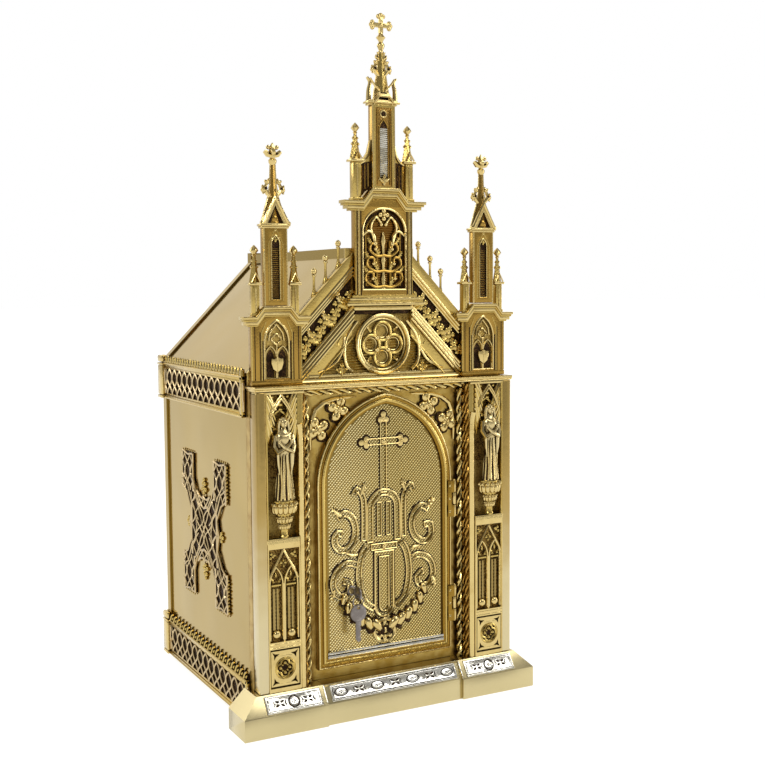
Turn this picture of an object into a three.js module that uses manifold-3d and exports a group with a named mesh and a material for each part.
// Altar tabernacle: a small gothic house of polished brass, hollow, with one hinged door.
// x runs to the right, y from the plinth's front to the back, z up. Millimetres.
import * as THREE from 'three';
import { mergeVertices } from 'three/addons/utils/BufferGeometryUtils.js';
import Module from 'manifold-3d';

const wasm = await Module();
wasm.setup();

// Driving dimensions of the house
const gap = 0.3;                 // between pieces that touch
const sheet = 3;                 // brass sheet of the walls and the roof
const facadeWidth = 340;
const facadeDepth = 30;
const boxDepth = 298;            // from the facade's back to the rear face
const boxRise = 7;               // the box hangs this much over the floor
const footInset = 16;
const eavesHeight = 410;
const roofPitch = THREE.MathUtils.degToRad(46);
const roofTopHalf = 45;          // half of the flat strip along the ridge
const ridgeCapRise = 12;
const rearRimWidth = 12;
const rearRimProud = 2.5;

// Plinth
const plinthStep = 15;           // the facade stands back this much
const plinthOverhang = 25;
const plinthFaceHeight = 25;
const plinthTop = 45;
const plinthEar = 6;             // the plinth reaches this far behind the facade
const plinthBlockWidth = 104;
const plinthSetback = 3;

// Facade and door
const stripHeight = 5.6;
const stripDrop = 14.4;          // from the eaves down to the strip's top
const stripProud = 1.8;
const framePlate = 11;
const bayMargin = 20;            // from the door's edge to the pilaster
const fillet = 8;
const outerStrip = 12;
const nicheDepth = 14;
const ropeRadius = 4.2;
const ropePitch = 40;
const nicheHeight = 167;
const corbelHeight = 43;
const lancetInset = 65;          // from the plinth up, and from the niche down
const lancetHalf = 7.2;
const squareFoot = 9;
const squareHeight = 43;
const doorHalf = 91;
const doorBottom = 58;
const doorHeadRoom = 9.203;      // between the door's point and the strip
const doorArchRadius = 107;
const doorBorder = 12;
const doorThickness = 8.4;
const doorLap = 5;               // the door overlaps its opening all round
const archSteps = 5;
const hingeRadius = 2.8;
const pinRadius = 1.2;
const hingeClearance = 0.7;      // between the door's edge and the hinge barrels
const knuckle = 15;
const hingeInset = [57.5, 29];   // from the door's foot, and from where its arch springs
const keyBow = 10.5;
const keyReach = 8;

// Gable, towers and finials
const gablePlate = 5.5;
const sideTowerInset = 32;
const sideTowerHalf = 30;
const sideTowerHeight = 78;
const centreTowerHalf = 38;
const centreTowerRise = 88.4;    // from the strip to the foot of the centre tower
const centreTowerHeight = 122;
const towerDepth = 11;
const roundelRadius = 35;

// Galleries
const bandHeight = 48;
const upperBandDrop = 51;        // from the eaves down to the band's foot
const lowerBandFoot = 7;
const bandThickness = 4.7;
const bandMoulding = 8;
const crestHeight = 10;
const bayPitch = 34;

// Places worked out from those
const half = facadeWidth / 2;
const sideTowerAxis = half - sideTowerInset;
const baySide = doorHalf + bayMargin;        // half of the recessed bay
const facadeFront = plinthStep;
const facadeBack = facadeFront + facadeDepth;
const rear = facadeBack + boxDepth;
const inner = rear - sheet;
const frameFront = facadeBack - framePlate;
const slope = Math.tan(roofPitch);
const roofLine = eavesHeight + half * slope;          // z + |x| * slope on the roof's outside
const roofDrop = sheet / Math.cos(roofPitch);
const roofTop = roofLine - roofTopHalf * slope;
const ridgeTop = roofTop + ridgeCapRise;
const stripTop = eavesHeight - stripDrop;
const stripBottom = stripTop - stripHeight;
const upperBandFoot = eavesHeight - upperBandDrop;
const centreTowerFoot = stripTop + centreTowerRise;
const doorRise = Math.sqrt(doorArchRadius ** 2 - (doorArchRadius - doorHalf) ** 2);
const doorSpring = stripBottom - doorHeadRoom - doorRise;
const hingeHeights = [doorBottom + hingeInset[0], doorSpring - hingeInset[1]];
const bayCentre = baySide - (baySide - doorHalf) / 2 + 2.5;
const cornerPost = bandThickness + 3;
const totalDepth = rear + cornerPost;

const house = new THREE.Group();
house.position.y = -totalDepth / 2;

function finish(name, color, roughness) {
  return new THREE.MeshStandardMaterial({ name, color, roughness, metalness: 1 });
}
const castBrass = finish('cast brass', 0xc9a550, 0.34);
const sheetBrass = finish('polished sheet brass', 0xdcc68a, 0.18);
const doorBrass = finish('door brass', 0xcdb066, 0.3);
const amberBrass = finish('amber ground', 0xb98f3c, 0.42);
const steel = finish('key steel', 0x8c8a88, 0.4);

// Turns a closed three.js geometry into a solid that can be joined and cut.
function solid(geometry) {
  geometry.deleteAttribute('normal');
  geometry.deleteAttribute('uv');
  const merged = mergeVertices(geometry, 1e-4);
  return new wasm.Manifold(new wasm.Mesh({
    numProp: 3,
    vertProperties: new Float32Array(merged.attributes.position.array),
    triVerts: new Uint32Array(merged.index.array),
  }));
}

function join(parts) {
  return parts.reduce((whole, part) => whole.add(part));
}

function cut(body, tools) {
  return tools.reduce((left, tool) => left.subtract(tool), body);
}

function piece(name, body, material) {
  const mesh = body.getMesh();
  const geometry = new THREE.BufferGeometry();
  geometry.setAttribute('position', new THREE.BufferAttribute(new Float32Array(mesh.vertProperties), 3));
  geometry.setIndex(new THREE.BufferAttribute(new Uint32Array(mesh.triVerts), 1));
  const node = new THREE.Mesh(geometry, material);
  node.name = name;
  house.add(node);
}

// A block between two corners; the spans may be given in either order.
function block(x, y, z) {
  const size = [x, y, z].map(([a, b]) => Math.abs(b - a));
  const middle = [x, y, z].map(([a, b]) => (a + b) / 2);
  return solid(new THREE.BoxGeometry(...size).translate(...middle));
}

// A block whose top is smaller than its foot.
function taper(centre, footHalf, topHalf, z) {
  const geometry = new THREE.BoxGeometry(2, 2, z[1] - z[0]);
  const position = geometry.attributes.position;
  for (let i = 0; i < position.count; i++) {
    const [hx, hy] = position.getZ(i) > 0 ? topHalf : footHalf;
    position.setX(i, position.getX(i) * hx + centre[0]);
    position.setY(i, position.getY(i) * hy + centre[1]);
  }
  return solid(geometry.translate(0, 0, (z[0] + z[1]) / 2));
}

function extrusion(outline, depth) {
  const shape = new THREE.Shape(outline.map(([a, b]) => new THREE.Vector2(a, b)));
  return new THREE.ExtrudeGeometry(shape, { depth, bevelEnabled: false });
}

// An outline of [x, z] points, given its thickness along y, with holes right through.
function plate(outline, y, holes = []) {
  const geometry = extrusion(outline, y[1] - y[0]);
  const body = solid(geometry.rotateX(Math.PI / 2).translate(0, y[1], 0));
  return cut(body, holes.map((hole) => plate(hole, [y[0] - 1, y[1] + 1])));
}

// An outline of [y, z] points, given its thickness along x, with holes right through.
function sidePlate(outline, x, holes = []) {
  const [low, high] = [Math.min(...x), Math.max(...x)];
  const turn = new THREE.Matrix4().makeBasis(
    new THREE.Vector3(0, 1, 0), new THREE.Vector3(0, 0, 1), new THREE.Vector3(1, 0, 0));
  const body = solid(extrusion(outline, high - low).applyMatrix4(turn).translate(low, 0, 0));
  return cut(body, holes.map((hole) => sidePlate(hole, [low - 1, high + 1])));
}

// A turned shape on an upright axis, flattened or fluted by the last two arguments.
function turned(profile, segments, at, flat = 1, flute = () => 1) {
  const points = profile.map(([radius, z]) => new THREE.Vector2(radius, z));
  const geometry = new THREE.LatheGeometry(points, segments);
  const position = geometry.attributes.position;
  for (let i = 0; i < position.count; i++) {
    const grow = flute(Math.atan2(position.getX(i), position.getZ(i)), position.getY(i));
    position.setX(i, position.getX(i) * grow);
    position.setZ(i, position.getZ(i) * grow * flat);
  }
  return solid(geometry.rotateX(Math.PI / 2).translate(at[0], at[1], 0));
}

function ball(x, y, z, radius, flat = 1) {
  return solid(new THREE.SphereGeometry(radius, 5, 3).scale(1, flat, 1).rotateX(Math.PI / 2)
    .translate(x, y, z));
}

// The points of a pointed arch: straight sides, and two arcs that meet over x = middle.
function arch(middle, halfWidth, bottom, spring, radius, steps) {
  const side = [];
  const top = Math.acos((radius - halfWidth) / radius);
  for (let i = 0; i <= steps; i++) {
    const angle = top * i / steps;
    side.push([halfWidth - radius + radius * Math.cos(angle), spring + radius * Math.sin(angle)]);
  }
  side[steps][0] = 0;
  const left = side.slice(0, steps).reverse().map(([x, z]) => [-x, z]);
  return [[-halfWidth, bottom], [halfWidth, bottom], ...side, ...left].map(([x, z]) => [x + middle, z]);
}

function round(x, z, radius, sides, turn = 0) {
  const points = [];
  for (let i = 0; i < sides; i++) {
    const angle = turn + 2 * Math.PI * i / sides;
    points.push([x + radius * Math.cos(angle), z + radius * Math.sin(angle)]);
  }
  return points;
}

// A bar of the given width that follows points in the front plane.
function strap(points, width, y) {
  const left = [];
  const right = [];
  points.forEach((point, i) => {
    const before = points[Math.max(i - 1, 0)];
    const after = points[Math.min(i + 1, points.length - 1)];
    const run = new THREE.Vector2(after[0] - before[0], after[1] - before[1]).normalize();
    left.push([point[0] - run.y * width / 2, point[1] + run.x * width / 2]);
    right.push([point[0] + run.y * width / 2, point[1] - run.x * width / 2]);
  });
  return plate([...left, ...right.reverse()], y);
}

function arcPoints(x, z, radius, from, to, steps) {
  const points = [];
  for (let i = 0; i <= steps; i++) {
    const angle = THREE.MathUtils.degToRad(from + (to - from) * i / steps);
    points.push([x + radius * Math.cos(angle), z + radius * Math.sin(angle)]);
  }
  return points;
}

// The roof's line, moved outwards by a rim, as [x, z] points down to a foot height.
function gableOutline(rim, foot) {
  const line = roofLine + rim / Math.cos(roofPitch);
  const side = half + rim;
  const top = roofTopHalf + rim;
  const peak = ridgeTop + rim;
  return [[-side, foot], [side, foot], [side, line - side * slope], [top, line - top * slope],
    [top, peak], [-top, peak], [-top, line - top * slope], [-side, line - side * slope]];
}

// Plinth: two end blocks and a middle block that stands back a little, with sloped tops
{
  const wide = half + plinthOverhang;
  const depth = facadeBack + plinthEar;
  const split = wide - plinthBlockWidth;
  const profile = (front) => [[front, 0], [depth, 0], [depth, plinthTop], [facadeFront, plinthTop],
    [front, plinthFaceHeight]];
  const middle = sidePlate(profile(plinthSetback), [-split - gap, split + gap]);
  const blocks = [-1, 1].map((side) => sidePlate(profile(0), [side * split, side * wide]));
  const endSlope = (side) => plate([[side * wide, plinthFaceHeight], [side * half, plinthTop],
    [side * wide, plinthTop + 1]], [-1, depth + 1]);
  const whole = join([middle, ...blocks]);
  const behind = block([-half - bandThickness - 2 * gap, half + bandThickness + 2 * gap],
    [facadeBack, depth + 1], [-1, plinthTop + 1]);
  piece('plinth', cut(whole, [endSlope(-1), endSlope(1), behind]), sheetBrass);
}

// Box: a floor with a plain foot, two sides, the back with a raised rim, and the roof
{
  const clear = half - sheet - gap;
  const front = facadeBack + gap;
  const foot = half - footInset;
  const floorPlate = block([-clear, clear], [front, inner - gap], [boxRise, boxRise + sheet]);
  const plainFoot = block([-foot, foot], [front + footInset, inner - footInset], [0, boxRise + 1]);
  piece('floor', floorPlate.add(plainFoot), sheetBrass);
  for (const [name, side] of [['side_panel_left', -1], ['side_panel_right', 1]]) {
    const top = eavesHeight - roofDrop - gap;
    const outline = [[side * half, boxRise], [side * (half - sheet), boxRise],
      [side * (half - sheet), top + sheet * slope], [side * half, top]];
    piece(name, plate(outline, [front, inner - gap]), sheetBrass);
  }
  for (const [name, side] of [['roof_left', -1], ['roof_right', 1]]) {
    const outline = [[side * half, eavesHeight], [side * roofTopHalf, roofTop],
      [side * roofTopHalf, roofTop - roofDrop], [side * half, eavesHeight - roofDrop]];
    piece(name, plate(outline, [front, inner - gap]), sheetBrass);
  }
  const capHalf = roofTopHalf - gap;
  const capFoot = roofTop - roofDrop;
  const cap = plate([[-capHalf, capFoot], [-capHalf, ridgeTop], [capHalf, ridgeTop], [capHalf, capFoot],
    [capHalf - sheet, capFoot], [capHalf - sheet, ridgeTop - sheet], [sheet - capHalf, ridgeTop - sheet],
    [sheet - capHalf, capFoot]], [front, inner - gap]);
  piece('roof_cap', cap, sheetBrass);
  const rim = plate(gableOutline(rearRimProud, boxRise), [rear - rearRimWidth, rear]);
  const within = plate(gableOutline(gap, boxRise - 1), [rear - rearRimWidth - 1, inner]);
  piece('back_panel', cut(rim, [within]), sheetBrass);
}

// Galleries: bands of small pointed openings under a comb of spikes, round the eaves and the foot
function galleryFace(length, foot, teeth) {
  const tooth = length / teeth;
  const comb = [[0, foot], [length, foot]];
  for (let i = teeth; i > 0; i--) {
    comb.push([tooth * i, foot + bandHeight], [tooth * (i - 0.5), foot + bandHeight + crestHeight]);
  }
  comb.push([0, foot + bandHeight]);
  return comb;
}

function galleryHoles(length, foot) {
  const count = Math.round(length / bayPitch);
  const pitch = length / count;
  const low = foot + bandMoulding;
  const high = foot + bandHeight - bandMoulding - 3;
  const holes = [];
  for (let i = 0; i < count; i++) {
    const middle = pitch * (i + 0.5);
    const side = pitch * 0.38;
    holes.push([[middle - side, low], [middle + side, low], [middle + side, high - side],
      [middle, high], [middle - side, high - side]]);
  }
  return holes;
}

function band(length, foot, open) {
  const thin = bandThickness / 3;
  const teeth = Math.round(length / bayPitch);
  const back = [0, thin];
  const middle = [thin * 0.9, thin * 2.3];
  const lower = [[0, foot], [length, foot], [length, foot + bandMoulding], [0, foot + bandMoulding]];
  const upper = lower.map(([a, b]) => [a, b + bandHeight - bandMoulding]);
  const top = foot + bandHeight - 1;
  const face = [[0, foot + 1], [length, foot + 1], [length, top], [0, top]];
  return { layers: [[galleryFace(length, foot, teeth), back, []],
    [face, middle, open ? galleryHoles(length, foot) : []],
    [lower, [thin * 0.8, bandThickness], []], [upper, [thin * 0.8, bandThickness], []]] };
}

for (const [level, foot] of [['lower', lowerBandFoot], ['upper', upperBandFoot]]) {
  const start = facadeBack + gap;
  const end = rear - rearRimWidth - gap;
  for (const [name, side] of [['left', -1], ['right', 1]]) {
    const run = band(end - start, foot, true);
    const face = side * (half + gap);
    const parts = run.layers.map(([outline, depth, holes]) => sidePlate(
      outline.map(([a, b]) => [a + start, b]), depth.map((d) => face + side * d),
      holes.map((hole) => hole.map(([a, b]) => [a + start, b]))));
    piece(`gallery_${level}_${name}`, join(parts), castBrass);
  }
  const width = 2 * (half + rearRimProud + gap);
  const run = band(width, foot, false);
  const parts = run.layers.map(([outline, depth]) => plate(
    outline.map(([a, b]) => [a - width / 2, b]), depth.map((d) => rear + gap + d)));
  for (const side of [-1, 1]) {
    const near = half + rearRimProud + gap;
    parts.push(block([side * near, side * (near + cornerPost - rearRimProud)],
      [rear - rearRimWidth, rear + cornerPost], [foot, foot + bandHeight + crestHeight]));
    parts.push(block([side * (near - 6), side * (near + 1)], [rear + gap, rear + cornerPost],
      [foot, foot + bandHeight + crestHeight]));
  }
  piece(`gallery_${level}_rear`, join(parts), castBrass);
}

// Side ornaments: a pierced lattice cross on each side of the box
const crossArm = 78;
const crossHeight = 88;
const crossCentre = 206;
for (const [name, side] of [['side_cross_left', -1], ['side_cross_right', 1]]) {
  const middle = (facadeBack + rear) / 2;
  const thick = [side * (half + gap), side * (half + gap + 3)];
  const parts = [];
  const reach = [[1, 1], [1, -1], [-1, 1], [-1, -1]];
  for (const [a, b] of reach) {
    const tip = [middle + a * crossArm, crossCentre + b * crossHeight];
    const root = [middle + a * 6, crossCentre + b * 8];
    const wide = 15;
    parts.push(sidePlate([[root[0] - a * 26, root[1]], [root[0], root[1] - b * 26],
      [tip[0], tip[1] - b * 30], [tip[0], tip[1]], [tip[0] - a * 30, tip[1]]], thick, [
      [[root[0] + a * wide * 0.2, root[1] + b * wide], [root[0] + a * wide, root[1] + b * wide * 0.2],
        [tip[0] - a * 12, tip[1] - b * 26], [tip[0] - a * 26, tip[1] - b * 12]]]));
  }
  for (const [dy, dz] of [[0, 1], [0, -1], [1, 0], [-1, 0]]) {
    const far = dz ? crossHeight * 0.72 : crossArm * 0.62;
    const at = (along, across) => [middle + dy * along + dz * across, crossCentre + dz * along + dy * across];
    parts.push(sidePlate([at(0, -9), at(far - 14, -5), at(far - 6, -10), at(far, 0), at(far - 6, 10),
      at(far - 14, 5), at(0, 9)], thick));
  }
  piece(name, join(parts), castBrass);
}

// Facade frame: the plate behind the door, with the arched doorway cut through it
const doorway = arch(0, doorHalf - doorLap, doorBottom + doorLap, doorSpring,
  doorArchRadius - doorLap, archSteps);
{
  const wall = [[-half, plinthTop + gap], [half, plinthTop + gap], [half, stripBottom - gap],
    [-half, stripBottom - gap]];
  piece('front_frame', plate(wall, [frameFront, facadeBack], [doorway]), amberBrass);
}

// Strip over the facade, on which the gable and the towers stand
{
  const low = block([-half - 1, half + 1], [facadeFront, facadeBack], [stripBottom, stripTop - 1]);
  const bead = block([-half - stripProud, half + stripProud], [facadeFront - stripProud, facadeBack],
    [stripTop - stripHeight * 0.65, stripTop]);
  piece('facade_strip', low.add(bead), castBrass);
}

// Pilasters: a niche under crossed arches, twin lancets and a square panel, and a corbel in the niche
const nicheFloor = stripBottom - nicheHeight;
const corbelTop = nicheFloor + corbelHeight;
const nicheIn = baySide + fillet;
const nicheOut = half - outerStrip;
const nicheMiddle = (nicheIn + nicheOut) / 2;
const statueAxis = facadeFront + nicheDepth / 2;
for (const [name, side] of [['pilaster_left', -1], ['pilaster_right', 1]]) {
  const top = stripBottom - gap;
  const x = (a) => side * a;
  const body = block([x(baySide), x(half)], [facadeFront, frameFront - gap], [plinthTop + gap, top]);
  const niche = block([x(nicheIn), x(nicheOut)], [facadeFront - 1, facadeFront + nicheDepth],
    [nicheFloor, top - 3]);
  const lancets = [-1, 1].map((k) => plate(
    arch(x(nicheMiddle + k * 9), lancetHalf, plinthTop + lancetInset, nicheFloor - lancetInset,
      lancetHalf * 1.32, 2), [facadeFront - 1, facadeFront + 4]));
  const low = plinthTop + squareFoot;
  const square = block([x(nicheIn), x(nicheOut)], [facadeFront - 1, facadeFront + 1.5],
    [low, low + squareHeight]);
  const boss = [x(nicheMiddle), low + squareHeight / 2];
  const carved = cut(body, [niche, ...lancets, square]);
  const medallion = plate(round(...boss, 12, 8), [facadeFront, facadeFront + 3], [round(...boss, 7, 4)]);
  const ribs = [-1, 1].map((k) => strap(
    [[x(nicheMiddle + k * 19.5), top - 46], [x(nicheMiddle + k * 9), top - 24],
      [x(nicheMiddle - k * 8), top - 2]], 3.4, [facadeFront + 1, facadeFront + 6]));
  const corbel = turned([[0, -1], [7, -1], [5, 8], [9, 18], [7, 22], [13, corbelHeight - 8],
    [11, corbelHeight - gap], [0, corbelHeight - gap]].map(([radius, z]) => [radius, nicheFloor + z]),
  6, [x(nicheMiddle), statueAxis], 0.8);
  piece(name, join([carved, medallion, ...ribs, corbel]), castBrass);
}

// Statues: a robed standing figure with crossed arms in each niche
const statueHeight = 94;
for (const [name, side] of [['statue_left', -1], ['statue_right', 1]]) {
  const at = [side * nicheMiddle, statueAxis];
  const z = (share) => corbelTop + statueHeight * share;
  const folds = (angle, height) => {
    const depth = THREE.MathUtils.clamp((z(0.62) - height) / (statueHeight * 0.5), 0, 1);
    return 1 + 0.13 * depth * Math.cos(5 * angle);
  };
  const robe = turned([[0, z(0)], [11, z(0)], [9, z(0.2)], [8.4, z(0.55)], [11, z(0.74)], [8, z(0.83)],
    [3.2, z(0.87)], [0, z(0.89)]], 8, at, 0.56, folds);
  const head = ball(at[0], at[1] - 0.5, z(0.93), 5.8, 0.95);
  const hair = ball(at[0], at[1] + 1.2, z(0.935), 6.2, 0.8);
  const arms = [-1, 1].map((k) => strap([[at[0] + k * 10, z(0.74)], [at[0] + k * 9.5, z(0.62)],
    [at[0] - k * 6, z(0.7)]], 5, [at[1] - 6.6 + k * 0.6, at[1]]));
  piece(name, join([robe, head, hair, ...arms]), castBrass);
}

// Rope mouldings: twisted bars down both sides of the bay and across its top
function rope(length) {
  const section = round(0, 0, ropeRadius, 4).map(([a, b]) => new THREE.Vector2(a, b));
  const steps = Math.round(length / (ropePitch / 2.6));
  const options = { depth: length, steps, bevelEnabled: false };
  const geometry = new THREE.ExtrudeGeometry(new THREE.Shape(section), options);
  const position = geometry.attributes.position;
  for (let i = 0; i < position.count; i++) {
    const turn = Math.PI * position.getZ(i) / (2 * ropePitch);
    const [x, y] = [position.getX(i), position.getY(i)];
    position.setXY(i, x * Math.cos(turn) - y * Math.sin(turn), x * Math.sin(turn) + y * Math.cos(turn));
  }
  return geometry;
}
const ropeY = frameFront - gap - ropeRadius;
const ropeTopZ = stripBottom - 2 * gap - ropeRadius;
{
  const foot = plinthTop + gap;
  for (const [name, side] of [['rope_left', -1], ['rope_right', 1]]) {
    const geometry = rope(ropeTopZ - ropeRadius - gap - foot);
    piece(name, solid(geometry.translate(side * bayCentre, ropeY, foot)), castBrass);
  }
  const reach = baySide - gap;
  const lying = rope(2 * reach).rotateY(Math.PI / 2).translate(-reach, ropeY, ropeTopZ);
  piece('rope_top', solid(lying), castBrass);
}

// Vine sprigs: a stem with two three-lobed leaves in each upper corner of the bay
for (const [name, side] of [['vine_left', -1], ['vine_right', 1]]) {
  const low = ropeTopZ - ropeRadius - gap;
  const x = (a) => side * (bayCentre - ropeRadius - gap - a);
  const y = [frameFront - gap - 4, frameFront - gap];
  const leaf = (a, b, turn) => plate(Array.from({ length: 12 }, (_, i) => {
    const angle = turn + 2 * Math.PI * i / 12;
    const radius = 11.5 * (i % 4 === 0 ? 1 : i % 2 ? 0.78 : 0.5);
    return [x(a) + side * radius * Math.cos(angle), low - b + radius * Math.sin(angle)];
  }), y);
  const stem = strap([[x(2.5), low - 60], [x(5), low - 30], [x(13), low - 13], [x(30), low - 5],
    [x(58), low - 2]], 3.2, y);
  piece(name, join([stem, leaf(12, 36, -0.5), leaf(37, 13, -1.2)]), castBrass);
}

// Door: an arched leaf with a moulded border, a relief cross on a base of upright straps, and scrolls
const lockX = -47;
const lockZ = 148;
const lockRadius = 6;
const doorBack = frameFront - gap;
const doorFace = doorBack - doorThickness;
const fieldFace = doorFace + 4.5;
{
  const outline = (inset) => arch(0, doorHalf - inset, doorBottom + inset, doorSpring,
    doorArchRadius - inset, archSteps);
  const leaf = plate(outline(0), [doorFace + 2, doorBack]);
  const ridge = plate(outline(doorBorder * 0.3), [doorFace, doorBack], [outline(doorBorder * 0.72)]);
  const field = plate(outline(doorBorder), [doorFace - 1, fieldFace]);
  const relief = [fieldFace - 2.6, fieldFace + 1];
  const crossTop = doorSpring + doorRise - 22.8;
  const crossAt = crossTop - 35;
  const bars = [
    strap([[0, doorBottom + 32], [0, crossTop - 8]], 7, relief),
    strap([[-24, crossAt], [24, crossAt]], 6, relief),
    plate(round(0, crossTop - 4, 6.5, 5), relief), plate(round(-24, crossAt, 6.5, 5), relief),
    plate(round(24, crossAt, 6.5, 5), relief)];
  const straps = [-1, 1].flatMap((k) => [
    [[[4, 256], [13, 250], [15, 232], [15, 176], [7, 166]], 5],
    [[[8, 168], [14, 156], [14, 122], [4, 112]], 5],
    [[[14, 170], [32, 186]], 5], [arcPoints(44, 200, 17, 230, 20, 4), 5],
    [[[14, 152], [31, 142]], 5], [arcPoints(44, 136, 15, 150, -120, 5), 5],
    [arcPoints(0, 118, 40, -72, -22, 2), 7],
    [[[4, 114], [14, 82]], 6],
  ].map(([points, width]) => strap(points.map(([x, z]) => [k * x, z]), width, relief)));
  const rosette = plate(round(0, 92, 13, 7), [fieldFace - 3.4, fieldFace + 1]);
  const tie = strap([[-16, 169], [16, 169]], 6, relief);
  const bar = block([doorBorder - doorHalf, doorHalf - doorBorder],
    [doorFace + 1, fieldFace + 1], [doorBottom + doorBorder - 1, doorBottom + doorBorder + 6]);
  const face = join([cut(leaf.add(ridge), [field]), ...bars, ...straps, tie, rosette, bar]);
  const lockSeat = plate(round(lockX, lockZ, lockRadius + gap, 8), [doorFace - 1, fieldFace]);
  piece('door_leaf', cut(face, [lockSeat]), doorBrass);
}

// Hinges: the barrels stand on the facade frame, the outer knuckles on the door
const hingeX = doorHalf + hingeClearance + hingeRadius;
const hingeY = doorFace + hingeRadius - 1;
function barrel(radius, low, high) {
  return turned([[0, low], [radius, low], [radius, high], [0, high]], 6, [hingeX, hingeY]);
}
hingeHeights.forEach((height, i) => {
  const name = i ? 'upper' : 'lower';
  const middle = knuckle / 2;
  const end = knuckle * 1.5;
  const leg = block([hingeX - 1.4, hingeX + 1.4], [hingeY, doorBack], [height - middle, height + middle]);
  const sleeve = barrel(hingeRadius, height - middle, height + middle);
  const pin = barrel(pinRadius, height - end, height + end);
  piece(`hinge_frame_${name}`, join([sleeve, leg, pin]), castBrass);
  const flapDepth = [doorFace - 1 - gap, doorFace - gap];
  const moving = [-1, 1].map((k) => {
    const low = height + k * middle + (k > 0 ? gap : -knuckle);
    const high = low + knuckle - gap;
    const ring = barrel(hingeRadius, low, high);
    const tab = block([doorHalf - doorBorder * 0.8, hingeX], flapDepth, [low, high]);
    return ring.add(tab);
  });
  const flap = block([doorHalf - doorBorder * 0.8, doorHalf - 1.5], flapDepth, [height - end, height + end]);
  const bore = barrel(pinRadius + gap, height - end - 1, height + end + 1);
  piece(`hinge_door_${name}`, cut(join([...moving, flap]), [bore]), castBrass);
});

// Lock and keys: one key stands in the lock, its twin hangs from the ring
{
  const plugFace = fieldFace - gap - 3;
  piece('lock_plug', plate(round(lockX, lockZ, lockRadius, 8), [plugFace, fieldFace - gap]), steel);
  const far = plugFace - keyReach;
  const thick = [-1, 1];
  const edgeBow = keyBow * 0.8;
  const ringY = far - edgeBow + 1;
  const stem = block([lockX - 1, lockX + 1], [far, plugFace - gap], [lockZ - 3.4, lockZ + 3.4]);
  const bow = sidePlate(round(ringY, lockZ, edgeBow, 10), thick.map((t) => lockX + t),
    [round(ringY, lockZ - 3, 2.4, 8)]);
  piece('key_in_lock', stem.add(bow), steel);
  const ringRadius = 6.5;
  const ringZ = lockZ - 3 - ringRadius;
  const torus = new THREE.TorusGeometry(ringRadius, 0.7, 3, 10);
  piece('key_ring', solid(torus.translate(lockX, ringY, ringZ)), steel);
  const bowZ = ringZ - ringRadius - keyBow + 3.5;
  const hole = round(lockX, bowZ + keyBow - 3.5, 2.2, 8);
  const spare = thick.map((t) => ringY + t);
  const tip = bowZ - keyBow - 24;
  const blade = plate([[lockX - 3.6, bowZ - keyBow + 1], [lockX + 3.6, bowZ - keyBow + 1],
    [lockX + 3.6, tip + 4], [lockX, tip], [lockX - 3.6, tip + 4]], spare);
  piece('spare_key', plate(round(lockX, bowZ, keyBow, 10), spare, [hole]).add(blade), steel);
}

// Gable: the front end of the roof, with a quatrefoil roundel between raking mouldings
const sideTowerFoot = stripTop + gap;
const sideCornice = sideTowerFoot + sideTowerHeight;
const sideCorniceReach = 11.4;
const towerBack = facadeBack - gablePlate - gap;
const towerFront = towerBack - towerDepth;
{
  const foot = stripTop + gap;
  const ground = facadeBack - gablePlate;
  const sideClear = sideTowerAxis - sideTowerHalf - gap;
  const topClear = centreTowerFoot - gap;
  const back = plate(gableOutline(0, foot), [ground, facadeBack]);
  const rake = (high, low, front) => [-1, 1].map((k) => {
    const line = (drop, x) => [k * x, roofLine - drop - x * slope];
    return plate([line(high, centreTowerHalf + 1), line(high, sideClear), line(low, sideClear),
      line(low, centreTowerHalf + 1)], [front, ground + 1]);
  });
  const lowRake = [-1, 1].map((k) => {
    const at = (drop, z) => [k * (roofLine - drop - z) / slope, z];
    return plate([at(66, topClear), at(66, foot + 12), at(86, foot + 12), at(86, topClear)],
      [ground - 8, ground + 1]);
  });
  const sill = block([-sideClear, sideClear], [ground - 7, ground + 1], [foot, foot + 10]);
  const centre = foot + 8 + roundelRadius;
  const sides = 16;
  const ring = plate(round(0, centre, roundelRadius, sides), [ground - 8, ground + 1],
    [round(0, centre, roundelRadius - 6, sides)]);
  const lobes = [0, 1, 2, 3].map((i) => {
    const angle = i * Math.PI / 2;
    return round(14.5 * Math.cos(angle), centre + 14.5 * Math.sin(angle), 10.5, 6, angle);
  });
  const foil = plate(round(0, centre, roundelRadius - 5, sides), [ground - 5, ground + 1], lobes);
  const leaves = [-1, 1].flatMap((k) => [0, 1, 2].map((i) => {
    const x = k * (61 + i * 17);
    return ball(x, ground - 1, roofLine - 48 - Math.abs(x) * slope, 7.5, 0.7);
  }));
  const posts = [-1, 1].flatMap((k) => [53.6, 70.1, 85].map((x) => {
    const low = roofLine - x * slope - 8;
    const middle = (ground + facadeBack) / 2;
    return turned([[0, low], [4.5, low], [1.5, low + 14], [1.4, low + 28], [3.4, low + 33], [0, low + 37.5]],
      4, [k * x, middle], 0.8);
  }));
  const parts = [back, ...rake(2, 14, ground - 6), ...rake(16, 27, ground - 9), ...lowRake, sill, ring, foil,
    ...leaves, ...posts];
  const towerRoom = [-1, 1].flatMap((k) => [
    block([k * sideClear, k * half], [0, ground], [0, ridgeTop]),
    block([k * (sideClear - sideCorniceReach), k * half], [0, ground], [sideCornice - 9.5 - gap, ridgeTop])]);
  piece('gable', cut(join(parts), towerRoom), castBrass);
}

// A cornice that rises over the middle as a flat-topped hood
function cornice(middle, reach, hood, z, rise, thick, y) {
  const line = (drop, side) => [[-side, z - drop], [-hood - rise + drop * 0.4, z - drop],
    [-hood + drop * 0.4, z + rise - drop], [hood - drop * 0.4, z + rise - drop],
    [hood + rise - drop * 0.4, z - drop], [side, z - drop]];
  const outline = [...line(0, reach), ...line(thick, reach).reverse()].map(([x, h]) => [x + middle, h]);
  return plate(outline, y);
}

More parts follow.
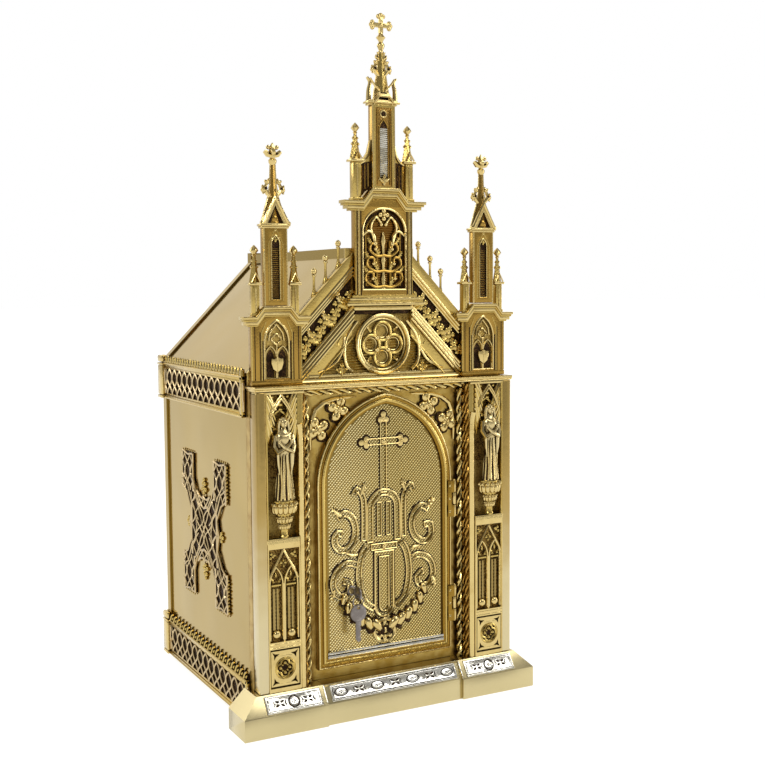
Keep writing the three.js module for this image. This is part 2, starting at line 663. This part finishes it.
// The wall that fills a hood, so that the cornice has something to stand on.
function hoodBody(middle, hood, z, rise, y) {
  return plate([[middle - hood - rise, z - 4], [middle + hood + rise, z - 4],
    [middle + hood, z + rise - 1], [middle - hood, z + rise - 1]], y);
}

// The space over a cornice's hood, which the pieces that stand on the cornice keep clear of.
function hoodRoom(middle, hood, z, rise) {
  const foot = hood + rise + 2 * gap;
  return plate([[middle - foot, z], [middle + foot, z], [middle + hood + gap, z + rise + gap],
    [middle - hood - gap, z + rise + gap]], [0, facadeBack]);
}

// A pinnacle: square shaft, ledge, slender cone and a bud
function pinnacle(x, y, foot, ledge, tip, halfSize) {
  const shaft = block([x - halfSize, x + halfSize], [y - halfSize, y + halfSize], [foot, ledge]);
  const shelf = block([x - halfSize * 1.7, x + halfSize * 1.7], [y - halfSize * 1.4, y + halfSize * 1.4],
    [ledge - 3.5, ledge]);
  const bud = 13;
  const cone = taper([x, y], [halfSize * 1.15, halfSize * 1.1], [1.7, 1.7], [ledge - 1, tip - bud + 2]);
  const knop = turned([[0, tip - bud], [3, tip - bud], [5.8, tip - 7], [0, tip]], 6, [x, y], 0.9);
  return join([shaft, shelf, cone, knop]);
}

// Side towers: body with a twin lancet under the cornice, then the spire and two pinnacles
const hoodRise = 11;
const pinnacleOffset = 24;
const pinnacleHalf = 4.3;
for (const [name, side] of [['left', -1], ['right', 1]]) {
  const axis = side * sideTowerAxis;
  const y = [towerFront, towerBack];
  const middle = (towerFront + towerBack) / 2;
  const hood = 17;
  const body = block([axis - sideTowerHalf, axis + sideTowerHalf], y, [sideTowerFoot, sideCornice - 3]);
  const head = hoodBody(axis, hood, sideCornice, hoodRise, y);
  const panel = plate(arch(axis, 15.5, sideTowerFoot + 7, sideCornice - 30, 30, 3), [y[0] - 1, y[0] + 2.5]);
  const mullion = plate([[-1.4, -44], [1.4, -44], [8, -22], [0, -15], [-8, -22]].map(
    ([x, z]) => [axis + x, sideCornice + z]), [y[0] + 0.6, y[0] + 4]);
  const shield = plate([[0, 10], [8, 19], [7, 29], [0, 32], [-7, 29], [-8, 19]].map(
    ([x, z]) => [axis + x, sideTowerFoot + z]), [y[0] - 1, y[0] + 4]);
  const reach = sideTowerHalf + sideCorniceReach;
  const upper = cornice(axis, reach, hood, sideCornice, hoodRise, 4.5, [y[0] - 5, y[1]]);
  const lower = cornice(axis, sideTowerHalf + 6, hood - 1, sideCornice - 4, hoodRise, 5, [y[0] - 2.5, y[1]]);
  const whole = join([cut(body.add(head), [panel]), mullion, shield, upper, lower]);
  piece(`tower_${name}`, whole, castBrass);

  const shaftFoot = sideCornice + hoodRise + gap;
  const ledge = shaftFoot + 90;
  const spireTip = ledge + 92;
  const shaft = block([axis - 14.5, axis + 14.5], [middle - 5, middle + 5], [shaftFoot, ledge]);
  const slit = plate(arch(axis, 4.3, shaftFoot + 12, ledge - 24, 8, 2), [middle - 6, middle - 3.2]);
  const eye = plate(round(axis, ledge - 8, 3.2, 6), [middle - 6, middle - 3.6]);
  const shelf = block([axis - 18, axis + 18], [middle - 7, middle + 6], [ledge - 2, ledge + 2]);
  const cap = taper([axis, middle], [14.5, 5.4], [5.5, 3.6], [ledge, ledge + 36]);
  const gablet = plate([[axis - 12, ledge + 1], [axis + 12, ledge + 1], [axis, ledge + 29]],
    [middle - 7, middle]);
  const needle = taper([axis, middle], [5.5, 3.6], [2, 2], [ledge + 34, spireTip - 18]);
  const crockets = [[12, 40], [8.5, 52]].flatMap(([reach, height]) => [-1, 1].map(
    (k) => ball(axis + k * (reach - 3.4), middle, ledge + height, 5, 0.8)));
  const bud = turned([[0, spireTip - 21], [3.4, spireTip - 19], [2.6, spireTip - 16], [11.5, spireTip - 10],
    [5, spireTip - 4], [0, spireTip]], 6, [axis, middle], 0.6);
  const spire = join([cut(shaft, [slit, eye]), shelf, cap, gablet, needle, ...crockets, bud]);
  piece(`spire_${name}`, spire, castBrass);

  for (const [place, k] of [['inner', -side], ['outer', side]]) {
    const spike = pinnacle(axis + k * pinnacleOffset, middle, sideCornice + gap, sideCornice + 37.5,
      sideCornice + 79.5, pinnacleHalf);
    piece(`pinnacle_${name}_${place}`, cut(spike, [hoodRoom(axis, hood, sideCornice, hoodRise)]), castBrass);
  }
}

// Centre tower: body with an arched panel on a sill, then the upper stage, the spire and the cross
const centreFoot = centreTowerFoot + gap;
const centreCornice = centreTowerFoot + centreTowerHeight;
const centreAxis = (towerFront + towerBack) / 2;
const centreHood = 18;
const centreRise = 14.5;
const stageTop = 717;
const pinnaclePlace = centreTowerHalf - 3.5;
{
  const y = [towerFront, towerBack];
  const body = block([-centreTowerHalf, centreTowerHalf], y, [centreFoot, centreCornice - 3]);
  const head = hoodBody(0, centreHood, centreCornice, centreRise, y);
  const panelFoot = centreFoot + 18;
  const panel = plate(arch(0, 29, panelFoot, centreCornice - 38, 30.5, 4), [y[0] - 1, y[0] + 4]);
  const bars = [-15, 0, 15].map((x) => block([x - 2, x + 2], [y[0] + 1.5, y[0] + 5],
    [panelFoot + 6, panelFoot + 58]));
  const rows = [12, 50].map((h) => block([-22, 22], [y[0] + 2, y[0] + 5],
    [panelFoot + h, panelFoot + h + 4]));
  const trefoil = [-9, 0, 9].map((x) => ball(x, y[0] + 3, panelFoot + 72 + (x ? 0 : 9), 5.5, 0.6));
  const wide = centreTowerHalf + 14;
  const less = centreTowerHalf + 9;
  const sill = block([-wide, wide], [y[0] - 6, y[1]], [centreFoot, centreFoot + 6]);
  const step = block([-less, less], [y[0] - 3, y[1]], [centreFoot + 5, centreFoot + 12]);
  const upper = cornice(0, wide + 2, centreHood, centreCornice, centreRise, 5, [y[0] - 6, y[1]]);
  const lower = cornice(0, less, centreHood - 1, centreCornice - 4.5, centreRise, 6, [y[0] - 3, y[1]]);
  const mouldings = [sill, step, upper, lower];
  const whole = join([cut(body.add(head), [panel]), ...bars, ...rows, ...trefoil, ...mouldings]);
  piece('centre_tower', whole, castBrass);
}
{
  const foot = centreCornice + centreRise + gap;
  const wallFoot = centreCornice + gap;
  const y = [centreAxis - 6, centreAxis + towerDepth / 2];
  const wingTop = wallFoot + 45;
  const reach = pinnaclePlace - 5.5 - gap;
  const shaft = block([-15, 15], y, [foot, stageTop]);
  const wings = [-1, 1].map((k) => plate([[k * reach, wallFoot], [k * reach, wingTop],
    [k * 18, wingTop + 12], [k * 14, wingTop + 26], [k * 14, foot + 1], [k * (centreHood + 1), foot + 1]],
  [centreAxis - 1, y[1]]));
  const slit = plate(arch(0, 5.6, foot + 14, stageTop - 24, 11, 2), [y[0] - 1, y[0] + 2.6]);
  const eye = plate(round(0, stageTop - 8, 4, 6), [y[0] - 1, y[0] + 2.2]);
  const collar = block([-21, 21], [y[0] - 2.5, y[1] + 1], [stageTop - 1, stageTop + 5]);
  const hood = plate([[-11, 4], [11, 4], [6.5, 14], [-6.5, 14]].map(([x, z]) => [x, stageTop + z]),
    [y[0] - 2, y[1]]);
  const petals = [-1, 1].map((k) => plate([[1, 10], [8, 20], [14, 29], [20, 31], [17, 25], [18.5, 4],
    [14, 4], [13, 20]].map(([x, z]) => [k * x, stageTop + z]), [y[0] - 1, y[1]]));
  const spire = taper([0, centreAxis], [12, 5.4], [5, 4], [stageTop + 4, stageTop + 50]);
  const stem = taper([0, centreAxis], [4.2, 3.8], [3, 3], [stageTop + 49, stageTop + 60]);
  const crockets = [[15, 40], [11, 52]].flatMap(([x, height]) => [-1, 1].map(
    (k) => ball(k * (x - 5.5), centreAxis, stageTop + height, 5.6, 0.8)));
  const ledgeRoom = [-1, 1].map((k) => block([k * (pinnaclePlace - 8.5 - gap), k * half],
    [0, facadeBack], [wallFoot + 43.5 - gap, stageTop]));
  const taken = [hoodRoom(0, centreHood, centreCornice, centreRise), ...ledgeRoom];
  const stage = join([cut(shaft, [slit, eye]), ...wings, collar, hood, ...petals, spire, stem, ...crockets]);
  piece('centre_spire', cut(stage, taken), castBrass);
  for (const [name, k] of [['left', -1], ['right', 1]]) {
    const whole = pinnacle(k * pinnaclePlace, centreAxis, wallFoot, wallFoot + 47, wallFoot + 89, 5);
    const room = hoodRoom(0, centreHood, centreCornice, centreRise);
    piece(`pinnacle_centre_${name}`, cut(whole, [room]), castBrass);
  }
  const crossFoot = stageTop + 60 + gap;
  const crossAt = crossFoot + 31;
  const knops = turned([[0, crossFoot], [3, crossFoot], [4.4, crossFoot + 8], [2.8, crossFoot + 12],
    [5.6, crossFoot + 17], [2.6, crossFoot + 21], [2.6, crossAt], [0, crossAt + 4]], 6, [0, centreAxis], 0.9);
  const arms = [block([-12, 12], [centreAxis - 2, centreAxis + 2], [crossAt - 2.2, crossAt + 2.2]),
    block([-2.2, 2.2], [centreAxis - 2, centreAxis + 2], [crossAt - 8, crossAt + 11])];
  const buds = [[-10.5, 0], [10.5, 0], [0, 10.4]].map(([x, h]) => ball(x, centreAxis, crossAt + h, 5.2, 0.8));
  piece('cross_finial', join([knops, ...arms, ...buds]), castBrass);
}

export default house;
